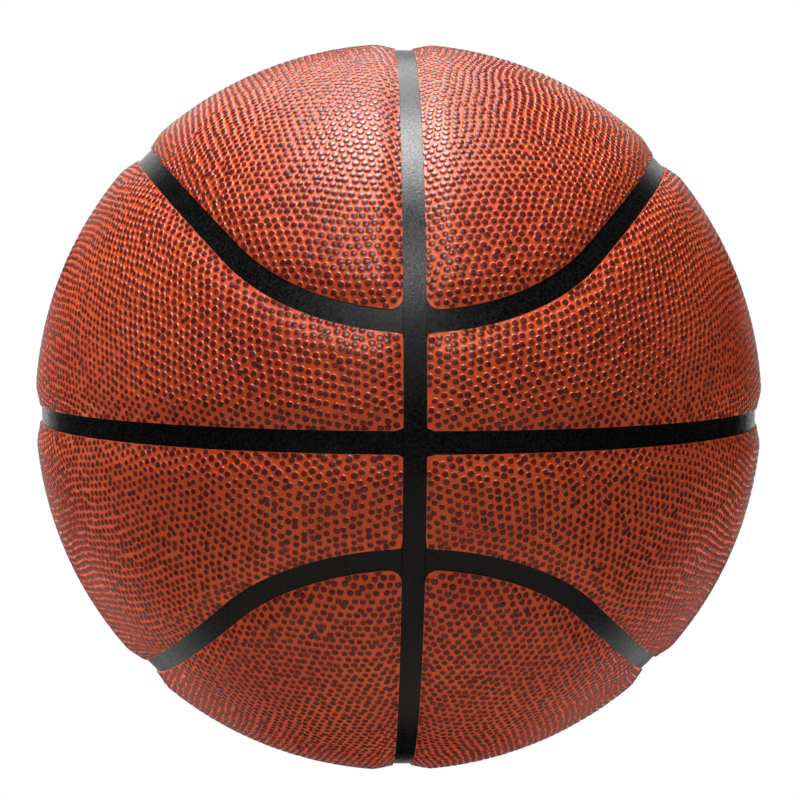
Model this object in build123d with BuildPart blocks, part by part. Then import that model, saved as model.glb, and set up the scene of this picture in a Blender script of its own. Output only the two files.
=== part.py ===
from build123d import *
from math import acos, asin, atan2, cos, degrees, radians, sin, sqrt
import os

os.makedirs("parts", exist_ok=True)

# Ball, in millimetres. +Z is up, the front crossing of the seams faces -Y, the centre is the origin.
ball_radius = 120.0
seam_width = 5.6
seam_depth = 1.75
strip_thickness = 1.0
panel_edge_lip = 0.25
panel_roll_width = 6.6
panel_edge_gap = 0.1
strip_butt_gap = 0.15
cap_corner_radius = 3.4
band_corner_radius = 0.9
glue_line = 0.2
carcass_wall = 1.3
winding_wall = 0.9
bladder_wall = 0.9

# Seam layout, in degrees
gore_angle = 45.0
loop_front_rise = 14.3
roll_break_angle = 3.0
cutter_lap_angle = 0.0
corner_overrun_angle = 10.0

# Valve, in millimetres
valve_set_down = 0.5
housing_radius = 4.5
housing_flange_radius = 13.0
housing_flange_root = 1.8
housing_flange_rim = 0.6
housing_tail_length = 10.0
plug_radius = 2.6
plug_running_fit = 0.05
plug_head_radius = 3.4
plug_head_height = 1.4
plug_head_set_down = 0.3
plug_tip_length = 1.5
plug_tip_round = 0.9
needle_bore_radius = 1.1
needle_bore_length = 12.0
needle_funnel_radius = 1.9
needle_funnel_depth = 0.8
needle_slit_width = 0.2
needle_slit_span = 2.4

# Room that the cutting shapes take outside the ball
cutter_reach = 30.0
roll_runout = 2.0

# Radii of the layers, from the outside in
strip_outer = ball_radius - seam_depth
panel_edge_radius = strip_outer + panel_edge_lip
panel_inner = strip_outer - strip_thickness
carcass_outer = panel_inner - glue_line
carcass_inner = carcass_outer - carcass_wall
winding_outer = carcass_inner - glue_line
winding_inner = winding_outer - winding_wall
bladder_outer = winding_inner - glue_line
bladder_inner = bladder_outer - bladder_wall
far = ball_radius + cutter_reach
half_seam = seam_width / 2
panel_wall = half_seam + panel_edge_gap

# The upper seam loop. Its sides lie on the plane z = x and its mirror image. At front and back a small
# circle, tangent to both sides, rounds the loop where it crosses the upright seam.
gore = radians(gore_angle)
rise = radians(loop_front_rise)
round_angle = atan2(cos(gore) * sin(rise), 1 - cos(gore) * cos(rise))
round_lift = round_angle + rise
front = Vector(0, -1, 0)
side_axis = Vector(-sin(gore), 0, cos(gore))
round_axis = Vector(0, -cos(round_lift), sin(round_lift))
crossing = Vector(0, -cos(rise), sin(rise))
tangent_point = (round_axis - side_axis * round_axis.dot(side_axis)).normalized()
side_start = degrees(acos(-tangent_point.Y))
toward_crossing = (crossing - round_axis * crossing.dot(round_axis)).normalized()
toward_tangent = (tangent_point - round_axis * tangent_point.dot(round_axis)).normalized()
round_turn = degrees(acos(toward_crossing.dot(toward_tangent)))


def ball_shell(outer, inner):
    """A hollow sphere turned about Y, its seam line lying under the upright seam."""
    with BuildPart() as shell:
        with BuildSketch(Plane.YZ):
            with BuildLine():
                CenterArc((0, 0), outer, 0, 180)
                Line((-outer, 0), (-inner, 0))
                CenterArc((0, 0), inner, 0, 180)
                Line((inner, 0), (outer, 0))
            make_face()
        revolve(axis=Axis.Y)
    return shell.part


def loop_point(offset, turn):
    """Front view of the loop's rounded end, moved sideways toward the cap by offset, at a turn in degrees."""
    swing = round_angle - offset / strip_outer
    lift = sin(round_lift) * cos(swing) - cos(round_lift) * sin(swing) * cos(radians(turn))
    return (strip_outer * sin(swing) * sin(radians(turn)), strip_outer * lift)


def loop_arc_points(offset, wall):
    """Start at the upright wall, middle and tangent end of the rounded part of one loop edge."""
    swing = round_angle - offset / strip_outer
    start_turn = degrees(asin(wall / (strip_outer * sin(swing))))
    middle_turn = (start_turn + round_turn) / 2
    return [loop_point(offset, turn) for turn in (start_turn, middle_turn, round_turn)]


def cap_footprint(wall, corner):
    """Front view of a cap panel: upright wall, rounded loop end, loop side, with a rounded corner."""
    start, middle, end = loop_arc_points(wall, wall)
    side_end = (far - (end[1] - end[0]), far)
    with BuildSketch() as cap:
        with BuildLine():
            ThreePointArc(start, middle, end)
            Polyline(end, side_end, (wall, far), start)
        make_face()
        fillet(cap.vertices().group_by(Axis.X)[0].sort_by(Axis.Y)[0], radius=corner)
    return cap.sketch


def band_footprint(wall, corner):
    """Front view of a band panel: upright wall, level wall, loop side and rounded loop end."""
    start, middle, end = loop_arc_points(-wall, wall)
    side_end = (far, far - (end[0] - end[1]))
    with BuildSketch() as band:
        with BuildLine():
            ThreePointArc(start, middle, end)
            Polyline(end, side_end, (far, wall), (wall, wall), start)
        make_face()
        fillet(band.vertices().group_by(Axis.X)[0], radius=corner)
    return band.sketch


def roll_outline():
    """Section over one seam: flat between the panel edges, then a rounded shoulder up to each crown."""
    top = half_seam + panel_roll_width
    top_radius = sqrt(ball_radius**2 - top**2)
    slope = radians(90 - roll_break_angle) + atan2(top, top_radius)
    out = top + roll_runout
    out_radius = top_radius + roll_runout * cos(slope) / sin(slope)
    edge = (panel_edge_radius, half_seam)
    with BuildLine() as outline:
        TangentArc((top_radius, top), edge, tangent=(-cos(slope), -sin(slope)))
        Polyline((top_radius, top), (out_radius, out), (far, out), (far, 0))
        mirror(about=Plane.XZ)
        Line((panel_edge_radius, -half_seam), edge)
    return outline.edges()


def seam_roll(start, axis, turn):
    """The space over a seam that the rolled-down panel edges leave, turned along the seam's circle."""
    sideways = axis - start * axis.dot(start)
    section = Plane(origin=(0, 0, 0), x_dir=start, z_dir=start.cross(sideways).normalized())
    with BuildPart() as roll:
        with BuildSketch(section):
            make_face(roll_outline())
        revolve(axis=Axis((0, 0, 0), axis), revolution_arc=turn)
    return roll.part


# Space over each seam that touches the upper right panels
upright_roll = seam_roll(front, Vector(1, 0, 0), 360)
level_roll = seam_roll(front, Vector(0, 0, 1), 360)
side_first = tangent_point.rotate(Axis((0, 0, 0), side_axis), -cutter_lap_angle)
side_roll = seam_roll(side_first, side_axis, 180 - 2 * side_start + 2 * cutter_lap_angle)
round_first = tangent_point.rotate(Axis((0, 0, 0), round_axis), cutter_lap_angle)
front_roll = seam_roll(round_first, round_axis, -(round_turn + cutter_lap_angle + corner_overrun_angle))
back_roll = mirror(front_roll, about=Plane.XZ)
cover_shell = ball_shell(ball_radius, panel_inner)
strip_shell = ball_shell(strip_outer, panel_inner)

# Valve axis: through the middle of the upper right band panel
valve_lean = radians(gore_angle / 2)
valve_axis = Axis((0, 0, 0), (cos(valve_lean), 0, sin(valve_lean)))
valve_section = Plane(origin=(0, 0, 0), x_dir=(0, 1, 0), z_dir=(sin(valve_lean), 0, -cos(valve_lean)))
valve_face = Plane(origin=(0, 0, 0), x_dir=(0, 1, 0), z_dir=(cos(valve_lean), 0, sin(valve_lean)))


def valve_hole(radius):
    """A round hole through one layer along the valve axis."""
    with BuildPart() as hole:
        with BuildSketch(valve_face.offset(bladder_inner - housing_flange_root)):
            Circle(radius)
        extrude(amount=cutter_reach)
    return hole.part


layer_hole = valve_hole(housing_radius + glue_line)

# Airtight bladder, yarn winding over it and rubber carcass over that, each holed for the valve
with BuildPart() as bladder:
    add(ball_shell(bladder_outer, bladder_inner))
    add(layer_hole, mode=Mode.SUBTRACT)

with BuildPart() as winding:
    add(ball_shell(winding_outer, winding_inner))
    add(layer_hole, mode=Mode.SUBTRACT)

with BuildPart() as carcass:
    add(ball_shell(carcass_outer, carcass_inner))
    add(layer_hole, mode=Mode.SUBTRACT)

# Valve housing: a flange bonded under the bladder, a stem out to the cover and a tail into the ball
flange_top = bladder_inner - glue_line
flange_rim_height = sqrt(flange_top**2 - housing_flange_radius**2)
flange_middle = (housing_flange_radius + housing_radius) / 2
flange_root_height = flange_top - housing_flange_root
housing_top = ball_radius - valve_set_down
housing_bottom = flange_root_height - housing_tail_length
plug_hole = plug_radius + plug_running_fit
head_hole = plug_head_radius + plug_running_fit
head_top = housing_top - plug_head_set_down
head_seat = head_top - plug_head_height - plug_running_fit
with BuildPart() as valve_housing:
    with BuildSketch(valve_section):
        with BuildLine():
            Polyline(
                (housing_radius, sqrt(flange_top**2 - housing_radius**2)),
                (housing_radius, housing_top),
                (head_hole, housing_top),
                (head_hole, head_seat),
                (plug_hole, head_seat),
                (plug_hole, housing_bottom),
                (housing_radius, housing_bottom),
                (housing_radius, flange_root_height),
                (housing_flange_radius, flange_rim_height - housing_flange_rim),
                (housing_flange_radius, flange_rim_height),
            )
            ThreePointArc(
                (housing_flange_radius, flange_rim_height),
                (flange_middle, sqrt(flange_top**2 - flange_middle**2)),
                (housing_radius, sqrt(flange_top**2 - housing_radius**2)),
            )
        make_face()
    revolve(axis=valve_axis)

# Valve plug: a headed rubber core with a funnel, a needle bore and a slit that closes the bore
plug_bottom = housing_bottom - plug_tip_length
bore_bottom = head_top - needle_bore_length
with BuildPart() as valve_plug:
    with BuildSketch(valve_section):
        with BuildLine():
            Polyline(
                (0, plug_bottom),
                (plug_radius, plug_bottom),
                (plug_radius, head_top - plug_head_height),
                (plug_head_radius, head_top - plug_head_height),
                (plug_head_radius, head_top),
                (0, head_top),
                close=True,
            )
        make_face()
    revolve(axis=valve_axis)
    fillet(valve_plug.edges().filter_by(GeomType.CIRCLE).sort_by(valve_axis)[0], radius=plug_tip_round)
    with BuildSketch(valve_section):
        with BuildLine():
            Polyline(
                (0, bore_bottom),
                (needle_bore_radius, bore_bottom),
                (needle_bore_radius, head_top - needle_funnel_depth),
                (needle_funnel_radius, head_top),
                (0, head_top),
                close=True,
            )
        make_face()
    revolve(axis=valve_axis, mode=Mode.SUBTRACT)
    with BuildSketch(valve_face.offset(plug_bottom)):
        Rectangle(needle_slit_span, needle_slit_width)
    extrude(amount=bore_bottom - plug_bottom, mode=Mode.SUBTRACT)

# Cover panels. One cap and one band are shaped at the upper right, and the others are their mirror images.
with BuildPart() as cap_top_right:
    with BuildSketch(Plane.XZ):
        add(cap_footprint(panel_wall, cap_corner_radius))
    extrude(amount=far, both=True)
    add(cover_shell, mode=Mode.INTERSECT)
    for roll in (upright_roll, side_roll, front_roll, back_roll):
        add(roll, mode=Mode.SUBTRACT)

with BuildPart() as band_form:
    with BuildSketch(Plane.XZ):
        add(band_footprint(panel_wall, band_corner_radius))
    extrude(amount=far, both=True)
    add(cover_shell, mode=Mode.INTERSECT)
    for roll in (upright_roll, level_roll, side_roll, front_roll, back_roll):
        add(roll, mode=Mode.SUBTRACT)

with BuildPart() as cap_top_left:
    mirror(cap_top_right.part, about=Plane.YZ)

with BuildPart() as cap_bottom_right:
    mirror(cap_top_right.part, about=Plane.XY)

with BuildPart() as cap_bottom_left:
    mirror(cap_top_left.part, about=Plane.XY)

with BuildPart() as band_upper_right:
    add(band_form.part)
    add(valve_hole(housing_radius + panel_edge_gap), mode=Mode.SUBTRACT)

with BuildPart() as band_upper_left:
    mirror(band_form.part, about=Plane.YZ)

with BuildPart() as band_lower_right:
    mirror(band_form.part, about=Plane.XY)

with BuildPart() as band_lower_left:
    mirror(band_upper_left.part, about=Plane.XY)

# Channel strips. The upright one is a whole ring, and the others butt against its sides with webbed ends.
strip_end = half_seam + strip_butt_gap
strip_cap = cap_footprint(half_seam, cap_corner_radius + panel_edge_gap)
strip_band = band_footprint(half_seam, band_corner_radius + panel_edge_gap)
web_top = half_seam + 2 * band_corner_radius
with BuildPart() as strip_upright:
    with BuildSketch(Plane.YX):
        with BuildLine():
            Polyline(
                (strip_outer, -half_seam),
                (strip_outer, half_seam),
                (panel_inner, half_seam),
                (panel_inner, -half_seam),
                close=True,
            )
        make_face()
    revolve(axis=Axis.X)

with BuildPart() as strip_upper_right:
    with BuildSketch(Plane.XZ):
        with BuildLine():
            Polyline((strip_end, web_top), (far, web_top), (far, far), (strip_end, far), close=True)
        make_face()
        add(strip_cap, mode=Mode.SUBTRACT)
        add(strip_band, mode=Mode.SUBTRACT)
    extrude(amount=far, both=True)
    add(strip_shell, mode=Mode.INTERSECT)

with BuildPart() as strip_level_right:
    with BuildSketch(Plane.XZ):
        with BuildLine():
            Polyline((strip_end, -web_top), (far, -web_top), (far, web_top), (strip_end, web_top), close=True)
        make_face()
        add(strip_band, mode=Mode.SUBTRACT)
        mirror(strip_band, about=Plane.XZ, mode=Mode.SUBTRACT)
    extrude(amount=far, both=True)
    add(strip_shell, mode=Mode.INTERSECT)

with BuildPart() as strip_upper_left:
    mirror(strip_upper_right.part, about=Plane.YZ)

with BuildPart() as strip_lower_right:
    mirror(strip_upper_right.part, about=Plane.XY)

with BuildPart() as strip_lower_left:
    mirror(strip_upper_left.part, about=Plane.XY)

with BuildPart() as strip_level_left:
    mirror(strip_level_right.part, about=Plane.YZ)

bladder.part.label = "bladder"
export_step(bladder.part, "parts/bladder.step")
winding.part.label = "winding"
export_step(winding.part, "parts/winding.step")
carcass.part.label = "carcass"
export_step(carcass.part, "parts/carcass.step")
valve_housing.part.label = "valve_housing"
export_step(valve_housing.part, "parts/valve_housing.step")
valve_plug.part.label = "valve_plug"
export_step(valve_plug.part, "parts/valve_plug.step")
strip_upright.part.label = "strip_upright"
export_step(strip_upright.part, "parts/strip_upright.step")
strip_level_right.part.label = "strip_level_right"
export_step(strip_level_right.part, "parts/strip_level_right.step")
strip_level_left.part.label = "strip_level_left"
export_step(strip_level_left.part, "parts/strip_level_left.step")
strip_upper_right.part.label = "strip_upper_right"
export_step(strip_upper_right.part, "parts/strip_upper_right.step")
strip_upper_left.part.label = "strip_upper_left"
export_step(strip_upper_left.part, "parts/strip_upper_left.step")
strip_lower_right.part.label = "strip_lower_right"
export_step(strip_lower_right.part, "parts/strip_lower_right.step")
strip_lower_left.part.label = "strip_lower_left"
export_step(strip_lower_left.part, "parts/strip_lower_left.step")
cap_top_right.part.label = "cap_top_right"
export_step(cap_top_right.part, "parts/cap_top_right.step")
cap_top_left.part.label = "cap_top_left"
export_step(cap_top_left.part, "parts/cap_top_left.step")
cap_bottom_right.part.label = "cap_bottom_right"
export_step(cap_bottom_right.part, "parts/cap_bottom_right.step")
cap_bottom_left.part.label = "cap_bottom_left"
export_step(cap_bottom_left.part, "parts/cap_bottom_left.step")
band_upper_right.part.label = "band_upper_right"
export_step(band_upper_right.part, "parts/band_upper_right.step")
band_upper_left.part.label = "band_upper_left"
export_step(band_upper_left.part, "parts/band_upper_left.step")
band_lower_right.part.label = "band_lower_right"
export_step(band_lower_right.part, "parts/band_lower_right.step")
band_lower_left.part.label = "band_lower_left"
export_step(band_lower_left.part, "parts/band_lower_left.step")
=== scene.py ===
# %% [markdown]
# # A pebbled basketball around its CAD frame
# The ball is a pressed rubber carcass with eight leather panels glued on and a black rubber strip
# let into every seam. The CAD model already holds all of these as solids, so the lesson starts by
# loading them as a fixed frame. The strips, the valve and the inside layers keep their CAD shape,
# and only the eight panels get a finer surface, because the pebbles are too many for a CAD solid.

# %% Load the frame
import math

import bpy
import numpy as np
from mathutils import Matrix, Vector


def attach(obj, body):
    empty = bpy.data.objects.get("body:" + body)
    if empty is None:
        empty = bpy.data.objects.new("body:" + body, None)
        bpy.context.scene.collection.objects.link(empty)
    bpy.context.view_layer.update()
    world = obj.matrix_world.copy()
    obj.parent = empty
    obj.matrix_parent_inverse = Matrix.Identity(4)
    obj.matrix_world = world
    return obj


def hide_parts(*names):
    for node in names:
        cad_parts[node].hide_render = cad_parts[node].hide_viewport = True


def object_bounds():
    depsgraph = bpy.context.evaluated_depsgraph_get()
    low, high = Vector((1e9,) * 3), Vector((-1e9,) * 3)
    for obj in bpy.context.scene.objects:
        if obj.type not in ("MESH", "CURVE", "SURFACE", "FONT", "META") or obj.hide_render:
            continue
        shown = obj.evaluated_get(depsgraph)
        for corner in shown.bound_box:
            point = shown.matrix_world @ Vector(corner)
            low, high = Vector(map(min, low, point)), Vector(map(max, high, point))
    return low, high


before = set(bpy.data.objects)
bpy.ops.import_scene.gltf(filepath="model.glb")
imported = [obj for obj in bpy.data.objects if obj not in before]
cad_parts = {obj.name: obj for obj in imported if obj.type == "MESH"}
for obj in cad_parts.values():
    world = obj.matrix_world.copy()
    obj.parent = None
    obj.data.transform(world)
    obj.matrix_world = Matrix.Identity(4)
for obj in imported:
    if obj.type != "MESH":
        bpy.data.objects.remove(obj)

cad_box = [list(corner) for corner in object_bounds()]
print("CAD box", cad_box)

# %% [markdown]
# ## Where the seams run
# Every seam is a circle on the ball. One upright seam and one level seam are great circles, and
# two more seams leave the upright one at the front, turn through a round corner and run over the
# sides on a great circle that leans 45 degrees. A seam could be drawn as a curve, but a panel is
# easier to shape when each of its points knows how far it is from each seam, so the layout is
# written as distances that numpy works out for whole arrays of points.

# %% Seam layout
BALL_RADIUS = 0.120
GORE_LEAN = math.radians(45)
LOOP_RISE = math.radians(14.3)

corner_turn = math.atan(
    math.cos(GORE_LEAN) * math.sin(LOOP_RISE) / (1 - math.cos(GORE_LEAN) * math.cos(LOOP_RISE))
)
corner_height = LOOP_RISE + corner_turn
corner_centre = np.array([0, -math.cos(corner_height), math.sin(corner_height)])
gore_normal = np.array([-math.sin(GORE_LEAN), 0, math.cos(GORE_LEAN)])
touch = corner_centre - corner_centre @ gore_normal * gore_normal
corner_side = np.cross(corner_centre, touch / np.linalg.norm(touch))
corner_side *= np.sign(corner_side @ [0, -math.cos(LOOP_RISE), math.sin(LOOP_RISE)])


def seam_distances(way, right, up):
    """Distances over the ball from unit directions to the upright, level and loop seams.

    The ball is folded on to one quarter of its front. A distance to a great circle is the radius
    times the arc sine of the height over its plane. In front of the plane where the loop starts
    to bend, its distance is the radius times the turn of the corner less the angle to the
    corner's centre. It is positive on the cap's side.
    """
    folded = np.stack([way[..., 0] * right, -np.abs(way[..., 1]), way[..., 2] * up], axis=-1)
    upright = BALL_RADIUS * np.arcsin(np.clip(folded[..., 0], -1, 1))
    level = BALL_RADIUS * np.arcsin(np.clip(folded[..., 2], -1, 1))
    bend = BALL_RADIUS * (corner_turn - np.arccos(np.clip(folded @ corner_centre, -1, 1)))
    straight = BALL_RADIUS * np.arcsin(np.clip(folded @ gore_normal, -1, 1))
    loop = np.where(folded @ corner_side > 0, bend, straight)
    return upright, level, loop


print("loop corner turns on a circle of", round(math.degrees(corner_turn), 2), "degrees")

# %% [markdown]
# ## The edge of a panel
# A leather panel stops just short of the black strip, and its edge is skived thin and rolled down
# into the channel. The distance from the edge decides both. Two edges meet in a rounded corner:
# wide on the four caps, tight on the four bands.

# %% Panel edges
SEAM_HALF = 0.0028
EDGE_GAP = 0.00012
CORNER_RADIUS = {"cap": 0.0034, "band": 0.0009}
PILLOW_CORNER = 0.0062
ROLL_WIDTH = 0.0070
ROLL_EASE = 1.3
EDGE_DROP = 0.00135
VALLEY_DEPTH = 0.00015

panels = [
    (f"{kind}_{height}_{side}", kind, right, up)
    for kind, heights in (("cap", ("top", "bottom")), ("band", ("upper", "lower")))
    for height, up in zip(heights, (1, -1))
    for side, right in (("right", 1), ("left", -1))
]


def edge_distance(way, kind, right, up, corner):
    """Distance inwards from a panel's edge: the smaller of two seam distances less half a seam.

    Where both are under the corner's radius, it is that radius less the distance from the
    corner's centre, which rounds the corner.
    """
    upright, level, loop = seam_distances(way, right, up)
    wall = SEAM_HALF + EDGE_GAP
    side = upright - wall
    end = (loop if kind == "cap" else np.minimum(level, -loop)) - wall
    rounded = corner - np.hypot(corner - side, corner - end)
    return np.where((side < corner) & (end < corner), rounded, np.minimum(side, end))


def cover_radius(way, kind, right, up):
    """Height of the leather's valleys over the ball's centre.

    It is the ball's radius less the valley depth, less a drop over the last few millimetres. The
    drop goes by the square of the share of the roll that is passed, times one plus an ease that
    fades out at the edge.
    """
    inwards = edge_distance(way, kind, right, up, PILLOW_CORNER)
    passed = np.clip(1 - inwards / ROLL_WIDTH, 0, 1)
    return BALL_RADIUS - VALLEY_DEPTH - EDGE_DROP * passed ** 2 * (1 + ROLL_EASE * (1 - passed))


print("panels", [panel[0] for panel in panels])

# %% [markdown]
# ## Lines from the middle of a panel
# A panel is a long leaf, wide in the middle and narrow at its two tips. Its surface can be drawn on
# lines that fan out from the middle, but straight lines would leave it on the way to a tip and come
# back. So these flare and bend a little towards the tips, and each meets the edge just once.

# %% Lines on a panel
MIDDLE_LEAN = GORE_LEAN / 2
TIP_REACH = {"cap": math.radians(77), "band": math.radians(86)}
TIP_BEND = {"cap": math.radians(5.4), "band": math.radians(6.2)}
TIP_FLARE = {"cap": 0.0, "band": 4.0}
SIDE_LIMIT = math.radians(40)


def panel_axes(kind, right, up):
    """Middle of a panel, the way along it and the way across it, as three unit directions."""
    lean = MIDDLE_LEAN if kind == "band" else math.pi / 2 - MIDDLE_LEAN
    middle = np.array([right * math.cos(lean), 0, up * math.sin(lean)])
    along = np.array([0.0, 1.0, 0.0])
    return middle, along, np.cross(middle, along)


def strip_way(axes, ahead, aside):
    """Unit directions at an angle ahead along a panel's middle line and an angle aside from it."""
    middle, along, across = axes
    forward = np.cos(ahead)[..., None] * middle + np.sin(ahead)[..., None] * along
    return np.cos(aside)[..., None] * forward + np.sin(aside)[..., None] * across


def polar_way(axes, panel, reach, turn):
    """Unit directions at a reach from the middle, along a turn about it.

    Ahead is the reach times the cosine of the turn. Aside is the reach times its sine, flared
    towards the panel's tips and kept under a limit by a hyperbolic tangent, plus a bend. Flare
    and bend grow with ahead to the fourth, so round the middle the rings are true circles.
    """
    _, kind, right, up = panel
    ahead = reach * np.cos(turn)
    share = (ahead / TIP_REACH[kind]) ** 4
    flared = reach * np.sin(turn) * (1 + TIP_FLARE[kind] * share)
    aside = SIDE_LIMIT * np.tanh(flared / SIDE_LIMIT)
    return strip_way(axes, ahead, aside + right * up * TIP_BEND[kind] * share)


print("middle to tip", {kind: round(BALL_RADIUS * tip, 3) for kind, tip in TIP_REACH.items()}, "m")

# %% [markdown]
# ## Where the lines meet the edge
# There is no simple formula for the place where such a line meets the edge, but the edge distance
# tells on which side of the edge a point lies, so halving the line again and again closes in on it.
# Lines at equal turns would leave long steps at the tips. Their turns are chosen so that they cut
# the edge into equal lengths.

# %% Lines to the edge
AROUND = 360
FARTHEST = math.radians(100)
HALVINGS = 34
FINE_STEPS = 16001


def reach_of_edge(axes, panel, turn, inwards):
    """Angle from the middle at which the edge is a given distance away, by halving."""
    low, high = np.zeros_like(turn), np.full_like(turn, FARTHEST)
    for _ in range(HALVINGS):
        half = (low + high) / 2
        way = polar_way(axes, panel, half, turn)
        inside = edge_distance(way, *panel[1:], CORNER_RADIUS[panel[1]])
        low, high = np.where(inside > inwards, half, low), np.where(inside > inwards, high, half)
    return low


def even_turns(axes, panel):
    """Turns about the middle that cut the edge into equal steps of its own length."""
    fine = np.linspace(0, 2 * math.pi, FINE_STEPS)
    rim = polar_way(axes, panel, reach_of_edge(axes, panel, fine, 0.0), fine)
    run = np.append(0, np.cumsum(np.linalg.norm(np.diff(rim, axis=0), axis=1)))
    return np.interp(np.arange(AROUND) / AROUND * run[-1], run, fine)


print("an edge has", AROUND, "points")

# %% [markdown]
# ## The skin of a panel
# The skin is a polar grid on these lines, with rings that follow the edge where the leather rolls
# down and rings that shrink to the middle elsewhere. A square grid trimmed at the edge would leave
# the edge ragged. An underside closes the panel, and the valve's panel has the valve hole as its
# last ring.

# %% Panel skin
EDGE_STEPS = np.array([0, 0.25, 0.6, 1.1, 1.8, 2.7, 3.8, 5.2, 7.0]) / 1000
INNER_RINGS = 22
UNDER_RINGS = 6
PANEL_THICKNESS = 0.00275
VALVE_HOLE = 0.0046
VALVE_PANEL = "band_upper_right"


def panel_skin(panel):
    """Points and faces of a closed panel: underside out to the edge, then the top back in.

    Each ring is a set of directions times a height. The underside keeps one height, and the top
    takes its height from the rolled cover.
    """
    axes = panel_axes(*panel[1:])
    turn = even_turns(axes, panel)
    hole = VALVE_HOLE / BALL_RADIUS if panel[0] == VALVE_PANEL else 0.0
    rim = np.stack([reach_of_edge(axes, panel, turn, step) for step in EDGE_STEPS])
    under = hole + (rim[0] - hole) * np.linspace(0, 1, UNDER_RINGS + 1)[:, None]
    inner = hole + (rim[-1] - hole) * np.linspace(1, 0, INNER_RINGS + 1)[1:, None]
    reach = np.concatenate([under, rim, inner])
    if not hole:
        reach = reach[1:-1]
    way = polar_way(axes, panel, reach, np.broadcast_to(turn, reach.shape))
    height = cover_radius(way, *panel[1:])
    height[: UNDER_RINGS + bool(hole)] = BALL_RADIUS - PANEL_THICKNESS
    points = (way * height[..., None]).reshape(-1, 3)

    rings = len(reach)
    ring, step = np.meshgrid(np.arange(rings - (not hole)), np.arange(AROUND), indexing="ij")
    after, beyond = (step + 1) % AROUND, (ring + 1) % rings
    quads = np.stack([ring * AROUND + step, ring * AROUND + after,
                      beyond * AROUND + after, beyond * AROUND + step], axis=-1).reshape(-1, 4)
    faces = [quads]
    if not hole:
        poles = np.outer([BALL_RADIUS - PANEL_THICKNESS, BALL_RADIUS - VALLEY_DEPTH], axes[0])
        low, high = len(points), len(points) + 1
        points = np.concatenate([points, poles])
        first, nxt = np.arange(AROUND), (np.arange(AROUND) + 1) % AROUND
        last = (rings - 1) * AROUND
        faces.append(np.stack([np.full(AROUND, low), nxt, first], axis=-1))
        faces.append(np.stack([last + first, last + nxt, np.full(AROUND, high)], axis=-1))
    return points, faces


print("rings on the valve's panel", 1 + UNDER_RINGS + len(EDGE_STEPS) + INNER_RINGS)

# %% [markdown]
# ## Dots that run together and dots at the edge
# The grain is pressed from a plate engraved by hand. Here and there a dot runs into its neighbour,
# and along the cut the grain goes right up to the edge. Both come from moving dots of an even
# layout a little: chosen pairs are drawn together, with a place for a small bridge between them,
# and dots just past the edge are drawn inside it.

# %% Moved dots
PAIR_SHARE = 0.022
PAIR_PULL = 0.15
EDGE_CLEAR = 0.00035
EDGE_PULL = 0.0007
PROBE_STEP = 1e-5
HAIR = 1e-6
TINY = 1e-12


def join_pairs(along, across, rng, row_step):
    """Pulls chosen dots and their neighbours together; returns the places between each pair.

    The neighbour is the next dot of the row, or the dot behind it in the next row. Both move by a
    share of their distance towards the place halfway.
    """
    rows, columns = along.shape
    row = rng.integers(0, rows - 1, int(rows * columns * PAIR_SHARE))
    column = rng.integers(0, columns - 2, len(row))
    mate = (row + row_step, column + (1 - row_step) + row_step * (row % 2))
    halfway = ((along[row, column] + along[mate]) / 2, (across[row, column] + across[mate]) / 2)
    for values, middle in zip((along, across), halfway):
        values[row, column] += (middle - values[row, column]) * 2 * PAIR_PULL
        values[mate] += (middle - values[mate]) * 2 * PAIR_PULL
    return halfway


def pull_inside(way, panel):
    """Moves dots that the edge cuts to just inside it, along the steepest way from the edge.

    That way is found from the edge distance a small step apart in three directions.
    """
    inwards = edge_distance(way, *panel[1:], PILLOW_CORNER)
    climb = np.stack([edge_distance(way + step, *panel[1:], PILLOW_CORNER) - inwards
                      for step in np.eye(3) * PROBE_STEP], axis=-1)
    climb -= np.sum(climb * way, axis=1, keepdims=True) * way
    climb /= np.linalg.norm(climb, axis=1, keepdims=True) + TINY
    short = EDGE_CLEAR + HAIR - inwards
    move = np.where((short > 0) & (short < EDGE_PULL), short, 0) / BALL_RADIUS
    way = way + climb * move[:, None]
    return way / np.linalg.norm(way, axis=1, keepdims=True)


print("share of dots in a pair along the row", PAIR_SHARE, "and as many across")

# %% [markdown]
# ## Where the pebbles sit
# The dots of the plate stand in rows that wander and jostle. Points thrown at random would leave
# holes and heaps, so the layout starts from a hexagonal lattice along the panel, which gives the
# even density. A few slow sideways waves bend its rows, and a small seeded jitter loosens it.

# %% Pebble layout
PITCH = 0.0023
ROWS_EACH_WAY = 62
DOTS_EACH_WAY = 92
JITTER = 0.08
JITTER_LIMIT = 1.7
WANDER = 0.016
WAVE_LENGTHS = (0.09, 0.06, 0.04, 0.026)
PEBBLE_TOP = 0.00069
SIZE_SPREAD = 0.075
SIZE_LIMITS = (0.82, 1.2)
BRIDGE_TOP = 0.00044
VALVE_CLEAR = 0.0066
TIP_OVERRUN = 0.1


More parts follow.
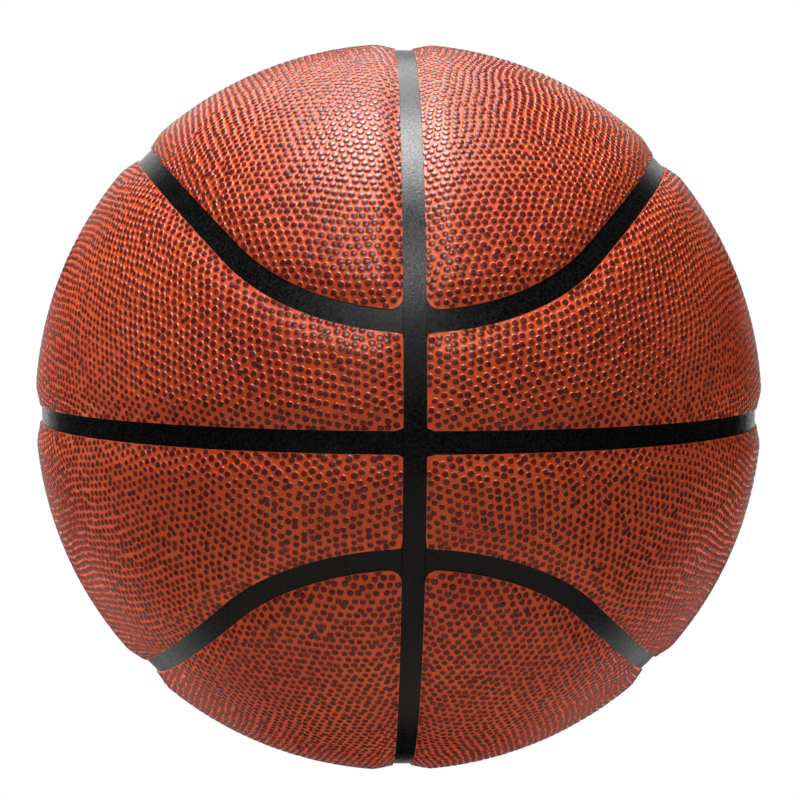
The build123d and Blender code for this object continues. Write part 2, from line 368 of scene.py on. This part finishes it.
def pebble_seats(panel, seed):
    """Unit directions, top radii and tones of a panel's pebbles: a bent and jittered lattice.

    Rows lie half the root of three pitches apart, every second one shifted by half a pitch. Each
    wave moves a dot sideways by a sine of its way along the wave's heading.
    """
    rng = np.random.default_rng(seed)
    row_gap = PITCH * math.sqrt(3) / 2
    row, column = np.meshgrid(np.arange(-ROWS_EACH_WAY, ROWS_EACH_WAY + 1),
                              np.arange(-DOTS_EACH_WAY, DOTS_EACH_WAY + 1), indexing="ij")
    along = (column + 0.5 * (row % 2)) * PITCH
    across = row * row_gap
    for length in WAVE_LENGTHS:
        heading, phase = rng.uniform(0, 2 * math.pi, 2)
        run = along * math.cos(heading) + across * math.sin(heading)
        sway = WANDER * length * np.sin(run * 2 * math.pi / length + phase)
        along = along - sway * math.sin(heading)
        across = across + sway * math.cos(heading)
    shake = [np.clip(rng.normal(size=along.shape), -JITTER_LIMIT, JITTER_LIMIT) for _ in range(2)]
    along = along + PITCH * JITTER * shake[0]
    across = across + PITCH * JITTER * shake[1]
    size = PEBBLE_TOP * np.clip(rng.normal(1, SIZE_SPREAD, along.shape), *SIZE_LIMITS)
    bridges = [join_pairs(along, across, rng, row_step) for row_step in (0, 1)]
    along = np.concatenate([along.ravel()] + [bridge[0] for bridge in bridges]) / BALL_RADIUS
    across = np.concatenate([across.ravel()] + [bridge[1] for bridge in bridges]) / BALL_RADIUS
    size = np.append(size.ravel(), np.full(len(along) - size.size, BRIDGE_TOP))
    tone = rng.uniform(0, 1, len(size))

    axes = panel_axes(*panel[1:])
    way = pull_inside(strip_way(axes, along, across), panel)
    keep = edge_distance(way, *panel[1:], CORNER_RADIUS[panel[1]]) > EDGE_CLEAR
    keep &= np.abs(along) < math.pi / 2 + TIP_OVERRUN
    if panel[0] == VALVE_PANEL:
        keep &= np.arccos(np.clip(way @ axes[0], -1, 1)) * BALL_RADIUS > VALVE_CLEAR
    return way[keep], size[keep], tone[keep]


print("pebble pitch", PITCH, "m")

# %% [markdown]
# ## The leather under a pebble
# A pebble stands square to the leather, which leans where the panel rolls down. The lean could be
# worked out on paper from the formula of the roll, but a small step each way over the surface
# gives it for any formula. The knife that cut the panel also cut the pebbles that lay across its
# edge, so a pebble spreads less where it would pass the edge.

# %% Under a pebble
SLOPE_STEP = 2e-6
CUT_MARGIN = (0.00001, 0.00006)
LEAST_WAY = 1e-9


def skin_frame(way, panel):
    """Point, outward normal and two tangents of the skin under each direction.

    The tangents are differences of the skin's points over a very small step along the panel and
    one across it.
    """
    ahead = np.cross(way, panel_axes(*panel[1:])[2])
    ahead /= np.linalg.norm(ahead, axis=1, keepdims=True)
    aside = np.cross(way, ahead)
    point = way * cover_radius(way, *panel[1:])[:, None]
    slopes = []
    for step in (ahead, aside):
        near = way + step * SLOPE_STEP
        near /= np.linalg.norm(near, axis=1, keepdims=True)
        slope = near * cover_radius(near, *panel[1:])[:, None] - point
        slopes.append(slope / np.linalg.norm(slope, axis=1, keepdims=True))
    normal = np.cross(slopes[0], slopes[1])
    normal /= np.linalg.norm(normal, axis=1, keepdims=True)
    return point, normal, slopes[0], np.cross(normal, slopes[0])


def cut_share(way, points, panel):
    """Share of a pebble's spread that the knife left: less than one where it would pass the edge.

    It is the seat's way to the edge, less a margin, over how much nearer the edge the point is.
    """
    corner = CORNER_RADIUS[panel[1]]
    seat = edge_distance(way, *panel[1:], corner)[:, None, None]
    rim = points / np.linalg.norm(points, axis=-1, keepdims=True)
    nearer = np.maximum(seat - edge_distance(rim, *panel[1:], corner), LEAST_WAY)
    margin = np.array(CUT_MARGIN)[None, :, None]
    return np.clip((seat - margin) / nearer, 0, 1)[..., None]


print("slopes over steps of", SLOPE_STEP * BALL_RADIUS, "m")

# %% [markdown]
# ## How a pebble takes the light
# The flank of a pressed pebble is hollow, and its curve would need more rings of points. Shading
# normals that lean more and more from the foot to the brow show the same curve on a straight flank,
# and give each pebble its bright crescent towards the lamp.

# %% Pebble normals
PEBBLE_SIDES = 9
FOOT_LEAN, BROW_LEAN, TOP_LEAN = np.radians([4, 60, 10])


def pebble_normals(normal, round_it):
    """Shading normals of the corners of flanks, caps and undersides, in that order.

    Each leans outwards from the leather's normal: hardly at a flank's foot, steeply at its brow,
    and a little at the rim of the top. A zero leaves a corner of the underside as it is.
    """
    foot, brow, rim = (math.cos(lean) * normal[:, None] + math.sin(lean) * round_it
                       for lean in (FOOT_LEAN, BROW_LEAN, TOP_LEAN))
    after = (np.arange(PEBBLE_SIDES) + 1) % PEBBLE_SIDES
    crown = np.broadcast_to(normal[:, None], rim.shape)
    flank = np.stack([foot, foot[:, after], brow[:, after], brow], axis=2)
    cap = np.stack([rim, rim[:, after], crown], axis=2)
    return [part.reshape(-1, 3) for part in (flank, cap, np.zeros_like(rim))]


print("a flank's normals lean by", np.degrees([FOOT_LEAN, BROW_LEAN]).round(), "degrees")

# %% [markdown]
# ## The shape of a pebble
# A pebble is a low button with a slightly domed top. It could come from bump in the material, but
# then the ball's outline would be smooth, so each one is real: a ring of points sunk in the skin, a
# ring round its top, and a crown point.

# %% Pebble buttons
PEBBLE_POINTS = 2 * PEBBLE_SIDES + 1
PEBBLE_HEIGHT = 0.00036
RIM_SHARE = 0.88
FLANK_RUN = 0.00054
SUNK = 0.00012
RISE_LIMIT = 1.1
TONE_TURN = 6.0


def pebble_buttons(panel, seed):
    """Points, faces, top weight, tone and shading normals of all the pebbles of a panel.

    A ring is the seat plus a height along the normal plus a radius times the cosine and sine of
    a turn along the two tangents.
    """
    way, size, tone = pebble_seats(panel, seed)
    point, normal, ahead, aside = skin_frame(way, panel)
    count = len(way)
    turn = np.arange(PEBBLE_SIDES) / PEBBLE_SIDES * 2 * math.pi
    turn = turn + tone[:, None] * TONE_TURN
    round_it = np.cos(turn)[..., None] * ahead[:, None] + np.sin(turn)[..., None] * aside[:, None]
    rise = PEBBLE_HEIGHT * np.sqrt(np.minimum(size / PEBBLE_TOP, RISE_LIMIT))
    spread = np.stack([size + FLANK_RUN, size], axis=1)[..., None, None] * round_it[:, None]
    height = np.stack([np.full(count, -SUNK), rise * RIM_SHARE], axis=1)[..., None]
    seat = (point[:, None] + normal[:, None] * height)[:, :, None]
    rings = seat + spread * cut_share(way, seat + spread, panel)
    crown = point + normal * rise[:, None]
    points = np.concatenate([rings.reshape(count, -1, 3), crown[:, None]], axis=1).reshape(-1, 3)

    start = (np.arange(count) * PEBBLE_POINTS)[:, None]
    side, after = np.arange(PEBBLE_SIDES), (np.arange(PEBBLE_SIDES) + 1) % PEBBLE_SIDES
    rim = start + PEBBLE_SIDES
    flank = np.stack([start + side, start + after, rim + after, rim + side], axis=-1)
    cap = np.stack([rim + side, rim + after, np.broadcast_to(rim + PEBBLE_SIDES, flank.shape[:2])],
                   axis=-1)
    faces = [flank.reshape(-1, 4), cap.reshape(-1, 3), start + side[::-1]]
    top = np.tile(np.repeat([0.0, 1.0], [PEBBLE_SIDES, PEBBLE_SIDES + 1]), count)
    return points, faces, top, np.repeat(tone, PEBBLE_POINTS), pebble_normals(normal, round_it)


print("a pebble has", 2 * PEBBLE_SIDES + 1, "faces and", PEBBLE_POINTS, "points")

# %% [markdown]
# ## From arrays to a Blender mesh
# Blender can build a mesh face by face, but with thousands of pebbles that is slow. Filling its
# vertices and face corners from whole arrays takes a moment. Attributes for the material and
# shading normals can go along.

# %% Mesh from arrays
SHARP_ANGLE = math.radians(27)


def make_piece(name, points, faces, normals=None, **attributes):
    """A smooth mesh object at the origin from an array of points and a list of face arrays.

    Where shading normals are given, there is one for each corner of each face.
    """
    mesh = bpy.data.meshes.new(name)
    corners = np.concatenate([face.ravel() for face in faces]).astype(np.int32)
    sizes = np.concatenate([np.full(len(face), face.shape[1]) for face in faces])
    mesh.vertices.add(len(points))
    mesh.vertices.foreach_set("co", points.astype(np.float32).ravel())
    mesh.loops.add(len(corners))
    mesh.loops.foreach_set("vertex_index", corners)
    mesh.polygons.add(len(sizes))
    mesh.polygons.foreach_set("loop_start", (np.cumsum(sizes) - sizes).astype(np.int32))
    mesh.polygons.foreach_set("use_smooth", np.ones(len(sizes), dtype=bool))
    mesh.update(calc_edges=True)
    mesh.validate()
    mesh.set_sharp_from_angle(angle=SHARP_ANGLE)
    if normals is not None:
        mesh.normals_split_custom_set(normals)
    for label, values in attributes.items():
        layer = mesh.attributes.new(label, "FLOAT", "POINT")
        layer.data.foreach_set("value", values.astype(np.float32))
    piece = bpy.data.objects.new(name, mesh)
    bpy.context.scene.collection.objects.link(piece)
    return piece


print("sharp edges from", round(math.degrees(SHARP_ANGLE)), "degrees")

# %% [markdown]
# ## The eight leather panels
# The skin and the pebbles of a panel are one sheet on the real ball, so they go into one mesh. Two
# attributes let the leather's material tell a pebble's top from its flank and one pebble from the
# next. Each panel takes the place of its CAD solid and has a seed of its own, because no two
# panels of a real ball have the same grain.

# %% Leather panels
FIRST_SEED = 11


def make_cover(panel, seed):
    """One leather panel: its skin and its pebbles in one mesh, standing for the CAD panel."""
    skin, skin_faces = panel_skin(panel)
    buttons, button_faces, top, tone, leans = pebble_buttons(panel, seed)
    points = np.concatenate([skin, buttons])
    faces = skin_faces + [face + len(skin) for face in button_faces]
    bare = np.zeros(len(skin))
    plain = np.zeros((sum(face.size for face in skin_faces), 3))
    piece = make_piece("leather_" + panel[0], points, faces, np.concatenate([plain] + leans),
                       pebble_top=np.append(bare, top), pebble_tone=np.append(bare + 0.5, tone))
    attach(piece, "ball")
    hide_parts(panel[0])
    triangles = sum(len(face) * (face.shape[1] - 2) for face in faces)
    print(piece.name, len(top) // PEBBLE_POINTS, "pebbles", triangles, "triangles")
    return piece


covers = [make_cover(panel, seed) for seed, panel in enumerate(panels, start=FIRST_SEED)]

# %% [markdown]
# ## Building a material from nodes
# Every finish here is a Principled shader with a few nodes before it. Five small helpers keep that
# readable: one starts a material, and the others add noise at a given grain, map a value on to
# colours, mix two colours, and add bump of a real depth.

# %% Material helpers
def start_material(name, **sockets):
    """A new node material with its Principled shader; constant values go on its own sockets."""
    material = bpy.data.materials.new(name)
    material.use_nodes = True
    shader = material.node_tree.nodes["Principled BSDF"]
    for label, value in sockets.items():
        shader.inputs[label.replace("_", " ")].default_value = value
    return material, material.node_tree, shader


def add_noise(tree, grain, detail=3.0, rough=0.55):
    """Noise on Object coordinates whose features are about grain metres wide."""
    place = tree.nodes.new("ShaderNodeTexCoord")
    noise = tree.nodes.new("ShaderNodeTexNoise")
    noise.inputs["Scale"].default_value = 1 / grain
    noise.inputs["Detail"].default_value = detail
    noise.inputs["Roughness"].default_value = rough
    tree.links.new(place.outputs["Object"], noise.inputs["Vector"])
    return noise.outputs["Fac"]


def add_ramp(tree, value, *stops):
    """Colours, or greys from single numbers, at stops along a value."""
    ramp = tree.nodes.new("ShaderNodeValToRGB")
    while len(ramp.color_ramp.elements) < len(stops):
        ramp.color_ramp.elements.new(0.5)
    for element, (at, colour) in zip(ramp.color_ramp.elements, stops):
        element.position = at
        element.color = (*colour, 1) if np.ndim(colour) else (colour, colour, colour, 1)
    tree.links.new(value, ramp.inputs["Fac"])
    return ramp.outputs["Color"]


def add_mix(tree, blend, share, first, second):
    """Two colours mixed; the share is a number or another node's value."""
    mix = tree.nodes.new("ShaderNodeMix")
    mix.data_type, mix.blend_type = "RGBA", blend
    for label, value in (("Factor_Float", share), ("A_Color", first), ("B_Color", second)):
        socket = next(s for s in mix.inputs if s.identifier == label)
        if isinstance(value, bpy.types.NodeSocket):
            tree.links.new(value, socket)
        else:
            socket.default_value = value
    return next(s for s in mix.outputs if s.identifier == "Result_Color")


def add_bump(tree, shader, height, depth, strength=1.0):
    """Bump of a real depth in metres on the shader's normal."""
    bump = tree.nodes.new("ShaderNodeBump")
    bump.inputs["Strength"].default_value = strength
    bump.inputs["Distance"].default_value = depth
    tree.links.new(height, bump.inputs["Height"])
    tree.links.new(bump.outputs["Normal"], shader.inputs["Normal"])


print("material helpers ready")

# %% [markdown]
# ## The leather
# The leather is printed in two colours: a warm orange ground, and a dark red-brown ink that only
# touches the tops of the pebbles. The top attribute gives the ink a crisp edge just below the rim
# of each pebble. Slow noise makes some places of the ground redder, and each pebble's own tone
# makes its ink a little thinner or thicker. Hands and floors polish the tops, so they are glossier
# than the valleys.

# %% Leather finish
LEATHER_GRAIN = 0.0003
GRAIN_DEPTH = 0.00003
GRAIN_STRENGTH = 0.6
GRAIN_SHARE = 0.2
VALLEY_ROUGH, TOP_ROUGH = 0.4, 0.17
BLUSH_WIDTH = 0.03
BLUSH_RANGE = (0.3, 0.7)
INK_RANGE = (0.72, 0.86)
POLISH_RANGE = (0.1, 0.6)
GROUND_WARM = (0.69, 0.09, 0.013)
GROUND_RED = (0.57, 0.055, 0.008)
INK_THIN = (0.14, 0.021, 0.014)
INK_THICK = (0.08, 0.011, 0.008)


def leather_finish():
    """Ground and ink mixed by the pebble top attribute, with a fine grain in gloss and bump."""
    leather, tree, shader = start_material("pebbled_leather", Specular_IOR_Level=0.42)
    top = tree.nodes.new("ShaderNodeAttribute")
    top.attribute_name = "pebble_top"
    tone = tree.nodes.new("ShaderNodeAttribute")
    tone.attribute_name = "pebble_tone"
    blush = add_noise(tree, BLUSH_WIDTH)
    ground = add_ramp(tree, blush, *zip(BLUSH_RANGE, (GROUND_RED, GROUND_WARM)))
    ink = add_ramp(tree, tone.outputs["Fac"], (0.0, INK_THICK), (1.0, INK_THIN))
    printed = add_ramp(tree, top.outputs["Fac"], *zip(INK_RANGE, (0.0, 1.0)))
    colour = add_mix(tree, "MIX", printed, ground, ink)
    tree.links.new(colour, shader.inputs["Base Color"])
    grain = add_noise(tree, LEATHER_GRAIN)
    polish = add_ramp(tree, top.outputs["Fac"], *zip(POLISH_RANGE, (VALLEY_ROUGH, TOP_ROUGH)))
    rough = add_mix(tree, "MIX", GRAIN_SHARE, polish, grain)
    tree.links.new(rough, shader.inputs["Roughness"])
    add_bump(tree, shader, grain, GRAIN_DEPTH, GRAIN_STRENGTH)
    return leather


leather = leather_finish()
for cover in covers:
    cover.data.materials.append(leather)
print("leather on", len(covers), "panels")

# %% [markdown]
# ## The black strips
# A strip is moulded rubber: nearly black, satin, with a very fine speckle and a little dust in
# it. The CAD strips have the right shape already, so they only change their material.

# %% Strip rubber
CLOUD_GRAINS = 12
CLOUD_SHARE = 0.25
PATCH_SHARE = 0.15
SPECKLE_RANGE = (0.46, 0.8)
PATCH_RANGE = (0.35, 0.65)
ROUGH_SPREAD = (-0.07, 0.15)
RUBBER_STRENGTH = 0.8


def rubber_finish(name, dark, pale, grain, rough, depth):
    """Two near greys speckled by fine noise, which also moves the gloss and a shallow bump.

    A slower noise, some twelve grains wide, makes colour and gloss a little patchy.
    """
    rubber, tree, shader = start_material(name, Specular_IOR_Level=0.3)
    speckle = add_noise(tree, grain, detail=5.0, rough=0.65)
    cloud = add_noise(tree, grain * CLOUD_GRAINS)
    greys = add_ramp(tree, speckle, *zip(SPECKLE_RANGE, (dark, pale)))
    colour = add_mix(tree, "MULTIPLY", CLOUD_SHARE, greys, cloud)
    tree.links.new(colour, shader.inputs["Base Color"])
    patchy = add_mix(tree, "MIX", PATCH_SHARE, speckle, cloud)
    limits = [rough + spread for spread in ROUGH_SPREAD]
    tree.links.new(add_ramp(tree, patchy, *zip(PATCH_RANGE, limits)), shader.inputs["Roughness"])
    add_bump(tree, shader, patchy, depth, RUBBER_STRENGTH)
    return rubber


def dress(node, material):
    """Gives a CAD node one material in place of all it came with."""
    node.data.materials.clear()
    node.data.materials.append(material)


strip_rubber = rubber_finish("strip_rubber", dark=0.003, pale=0.015, grain=0.0007,
                             rough=0.24, depth=0.00009)
strips = [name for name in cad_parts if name.startswith("strip_")]
for name in strips:
    dress(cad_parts[name], strip_rubber)
print("rubber on", strips)

# %% [markdown]
# ## The valve and the layers inside
# The valve housing is softer, duller rubber and its plug a greyer one. Inside, the carcass is
# black rubber with a calendered grain, the winding is pale nylon yarn laid round and round, and
# the bladder is smooth butyl. They are seldom seen, but each has the finish of its own stuff.

# %% Valve and inside finishes
YARN_DARK = (0.35, 0.32, 0.26)
YARN_PALE = (0.72, 0.69, 0.6)
YARN_RANGE = (0.1, 0.8)
YARN_SCALE = 260
YARN_BEND = 2.5
YARN_FRAY = 2.0
YARN_DEPTH = 0.0002
YARN_CLOUD = 0.012


def yarn_finish():
    """Yarn in bands: a wave along a bent direction, with noise that varies thread and colour."""
    yarn, tree, shader = start_material("winding_yarn", Roughness=0.62)
    place = tree.nodes.new("ShaderNodeTexCoord")
    wave = tree.nodes.new("ShaderNodeTexWave")
    wave.bands_direction = "DIAGONAL"
    wave.inputs["Scale"].default_value = YARN_SCALE
    wave.inputs["Distortion"].default_value = YARN_BEND
    wave.inputs["Detail"].default_value = YARN_FRAY
    tree.links.new(place.outputs["Object"], wave.inputs["Vector"])
    thread = wave.outputs["Fac"]
    shades = add_ramp(tree, thread, *zip(YARN_RANGE, (YARN_DARK, YARN_PALE)))
    cloud = add_noise(tree, YARN_CLOUD)
    colour = add_mix(tree, "MULTIPLY", CLOUD_SHARE, shades, cloud)
    tree.links.new(colour, shader.inputs["Base Color"])
    add_bump(tree, shader, thread, YARN_DEPTH)
    return yarn


inside_finishes = {
    "carcass": rubber_finish("carcass_rubber", dark=0.012, pale=0.026, grain=0.0012,
                             rough=0.55, depth=0.00008),
    "winding": yarn_finish(),
    "bladder": rubber_finish("bladder_rubber", dark=0.01, pale=0.018, grain=0.004,
                             rough=0.3, depth=0.00004),
    "valve_housing": rubber_finish("valve_rubber", dark=0.009, pale=0.02, grain=0.0004,
                                   rough=0.46, depth=0.00003),
    "valve_plug": rubber_finish("plug_rubber", dark=0.03, pale=0.055, grain=0.0003,
                                rough=0.42, depth=0.00003),
}
for name, material in inside_finishes.items():
    dress(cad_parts[name], material)
print("finishes on", sorted(inside_finishes))

# %% [markdown]
# ## Floor and wall
# The ball lies on a white floor inside a round white wall, both evenly white as in a catalogue. If
# they lit the ball, they would wash it out, so the camera sees them and the ball doesn't. The
# Standard view keeps their white pure, where a film-like view would grey it.

# %% Floor and wall
STAGE_REACH = 4.0
WALL_REACH = 3.92
WALL_PARTS = 72
FLOOR_GAP = 0.0003
floor_height = cad_box[0][2] - FLOOR_GAP
square = np.array([[-1, -1], [1, -1], [1, 1], [-1, 1]]) * STAGE_REACH
floor = make_piece("floor", np.column_stack([square, np.full(4, floor_height)]),
                   [np.arange(4)[None]])
low = np.arange(WALL_PARTS)
after = (low + 1) % WALL_PARTS
bend = low / WALL_PARTS * 2 * math.pi
ring = np.column_stack([np.cos(bend), np.sin(bend)]) * WALL_REACH
wall_points = np.concatenate([np.column_stack([ring, np.full(WALL_PARTS, height)])
                              for height in (floor_height, STAGE_REACH)])
wall = make_piece("wall", wall_points,
                  [np.stack([after, low, low + WALL_PARTS, after + WALL_PARTS], axis=1)])
for piece in (floor, wall):
    paint, _, _ = start_material(piece.name + "_paint", Base_Color=(0, 0, 0, 1), Roughness=1.0,
                                 Specular_IOR_Level=0.0, Emission_Color=(1, 1, 1, 1),
                                 Emission_Strength=1.0)
    piece.data.materials.append(paint)
    piece.visible_diffuse = piece.visible_glossy = piece.visible_shadow = False
bpy.context.scene.view_settings.view_transform = "Standard"
print("floor at", round(float(floor_height), 4), "m")

# %% [markdown]
# ## Lamps
# The strip that runs up the front is a curved black mirror, and where it shines in the photograph
# tells how high each lamp stood. Lamps that only light the leather and lamps that only shine in it
# are set apart, because a bounced light has no edge to mirror. The bounce from below is warm, as if
# the floor caught the ball's own colour. The table gives each lamp's place, its width in metres,
# its power in watts and what it does.

# %% Lamps
WARM_BOUNCE = (1.0, 0.88, 0.82)
NEARLY_UP = (0.0, 0.02, 1.0)
BOTH, LIGHT_ONLY, SHINE_ONLY = (True, True), (True, False), (False, True)
lamps = {
    "soft_box_above": ((-0.06, -0.14, 0.85), 0.4, 10.5, BOTH),
    "soft_box_front": ((-0.1, -0.8, 0.95), 0.7, 1.7, LIGHT_ONLY),
    "front_sheen": ((-0.08, -0.9, 0.85), 0.3, 4.0, SHINE_ONLY),
    "front_glow": ((-0.1, -1.1, 0.6), 0.8, 1.2, SHINE_ONLY),
    "back_sheen": ((-0.06, 0.35, 0.85), 0.6, 4.0, SHINE_ONLY),
    "rear_high": ((0.0, 1.2, 0.4), 1.0, 2.0, SHINE_ONLY),
    "rear_low": ((0.0, 1.2, -0.4), 1.0, 2.0, SHINE_ONLY),
    "bounce_left": ((-1.2, 0.3, 0.3), 0.8, 5.5, LIGHT_ONLY),
    "bounce_below": ((0.0, -0.6, -0.9), 2.0, 4.3, BOTH),
    "rim_left": ((-1.0, 0.7, -0.25), 0.8, 34.0, LIGHT_ONLY),
    "rim_right": ((1.0, 0.7, -0.55), 0.8, 34.0, LIGHT_ONLY),
    "sheen_left": ((-0.62, 1.0, -0.1), 0.5, 0.9, SHINE_ONLY),
    "high_sheen_left": ((-0.6, 1.0, 0.5), 0.5, 0.7, SHINE_ONLY),
    "low_sheen_left": ((-0.8, 0.6, -0.8), 0.8, 1.2, SHINE_ONLY),
    "sheen_right": ((0.62, 1.0, -0.1), 0.5, 0.9, SHINE_ONLY),
    "high_sheen_right": ((0.6, 1.0, 0.5), 0.5, 0.7, SHINE_ONLY),
    "low_sheen_right": ((0.8, 0.6, -0.8), 0.8, 1.2, SHINE_ONLY),
}


def soft_box(name, place, size, power, seen):
    """A square lamp at a place, turned to look at the ball; it lights surfaces, shines or both."""
    lamp = bpy.data.lights.new(name, "AREA")
    lamp.shape, lamp.size, lamp.energy = "SQUARE", size, power
    box = bpy.data.objects.new(name, lamp)
    bpy.context.scene.collection.objects.link(box)
    ahead = -np.array(place) / np.linalg.norm(place)
    side = np.cross(ahead, NEARLY_UP)
    side /= np.linalg.norm(side)
    turn = np.column_stack([side, np.cross(side, ahead), -ahead, place])
    box.matrix_world = Matrix([*turn.tolist(), [0, 0, 0, 1]])
    box.visible_camera = False
    box.visible_diffuse, box.visible_glossy = seen
    return box


boxes = {name: soft_box(name, *values) for name, values in lamps.items()}
boxes["bounce_below"].data.color = WARM_BOUNCE
print(len(boxes), "lamps")

# %% [markdown]
# ## The room
# The light that no lamp gives comes from a dim room: pale towards the floor, darkest at the height
# of the ball and a little lighter overhead. It is left out of the reflections, because the lamps
# alone make those.

# %% Room
ROOM_GREYS = ((0.0, 0.75), (0.3, 0.45), (0.5, 0.12), (0.6, 0.12), (1.0, 0.4))


def pale_room(*stops):
    """A world whose grey goes by height: stops from straight down, 0, to straight up, 1.

    The height is half the upward part of the direction plus a half.
    """
    world = bpy.data.worlds.new("pale_room")
    world.use_nodes = True
    tree = world.node_tree
    place = tree.nodes.new("ShaderNodeTexCoord")
    parts = tree.nodes.new("ShaderNodeSeparateXYZ")
    tree.links.new(place.outputs["Generated"], parts.inputs["Vector"])
    height = tree.nodes.new("ShaderNodeMath")
    height.operation = "MULTIPLY_ADD"
    height.inputs[1].default_value = height.inputs[2].default_value = 0.5
    tree.links.new(parts.outputs["Z"], height.inputs[0])
    grey = add_ramp(tree, height.outputs["Value"], *stops)
    tree.links.new(grey, tree.nodes["Background"].inputs["Color"])
    return world


room = pale_room(*ROOM_GREYS)
room.cycles_visibility.glossy = False
bpy.context.scene.world = room
print("room with", len(ROOM_GREYS), "greys")

# %% [markdown]
# ## The camera
# The photograph was taken from a little above the middle of the ball, 3.2 ball radii away. The
# tilt of the ball in the picture is written as a turn about one axis, and the camera takes the
# opposite turn, so that the ball itself stays square in its frame.

# %% Camera
IMAGE_SIZE = 800
SENSOR = 36.0
PICTURE_RADIUS = 362.5
PICTURE_CENTRE = (398.68, 406.2)
STAND_OFF = 3.2
CLIP_START = 0.01
BALL_TURN = np.radians([3.98, 0.203, 2.013])


def turn_matrix(turn):
    """Rotation about a vector by its length.

    It is one, plus the sine times the skew matrix of the axis, plus one less the cosine times that
    matrix squared.
    """
    angle = np.linalg.norm(turn)
    x, y, z = turn / angle
    skew = np.array([[0, -z, y], [z, 0, -x], [-y, x, 0]])
    return np.eye(3) + math.sin(angle) * skew + (1 - math.cos(angle)) * skew @ skew


focal = PICTURE_RADIUS / math.tan(math.asin(1 / STAND_OFF))
offset = np.subtract(PICTURE_CENTRE, IMAGE_SIZE / 2)
to_ball = np.array([offset[0] / focal, 1, -offset[1] / focal])
to_ball *= STAND_OFF * BALL_RADIUS / np.linalg.norm(to_ball)
ball_turn = turn_matrix(BALL_TURN)
right_way, ahead_way, up_way = ball_turn
camera_place = -ball_turn.T @ to_ball
camera_data = bpy.data.cameras.new("camera")
camera_data.sensor_width = SENSOR
camera_data.lens = focal * SENSOR / IMAGE_SIZE
camera_data.clip_start = CLIP_START
camera = bpy.data.objects.new("camera", camera_data)
pose = np.column_stack([right_way, up_way, -ahead_way, camera_place])
camera.matrix_world = Matrix([*pose.tolist(), [0, 0, 0, 1]])
bpy.context.scene.collection.objects.link(camera)
bpy.context.scene.camera = camera
print("camera at", camera_place.round(4), "lens", round(camera_data.lens, 2))
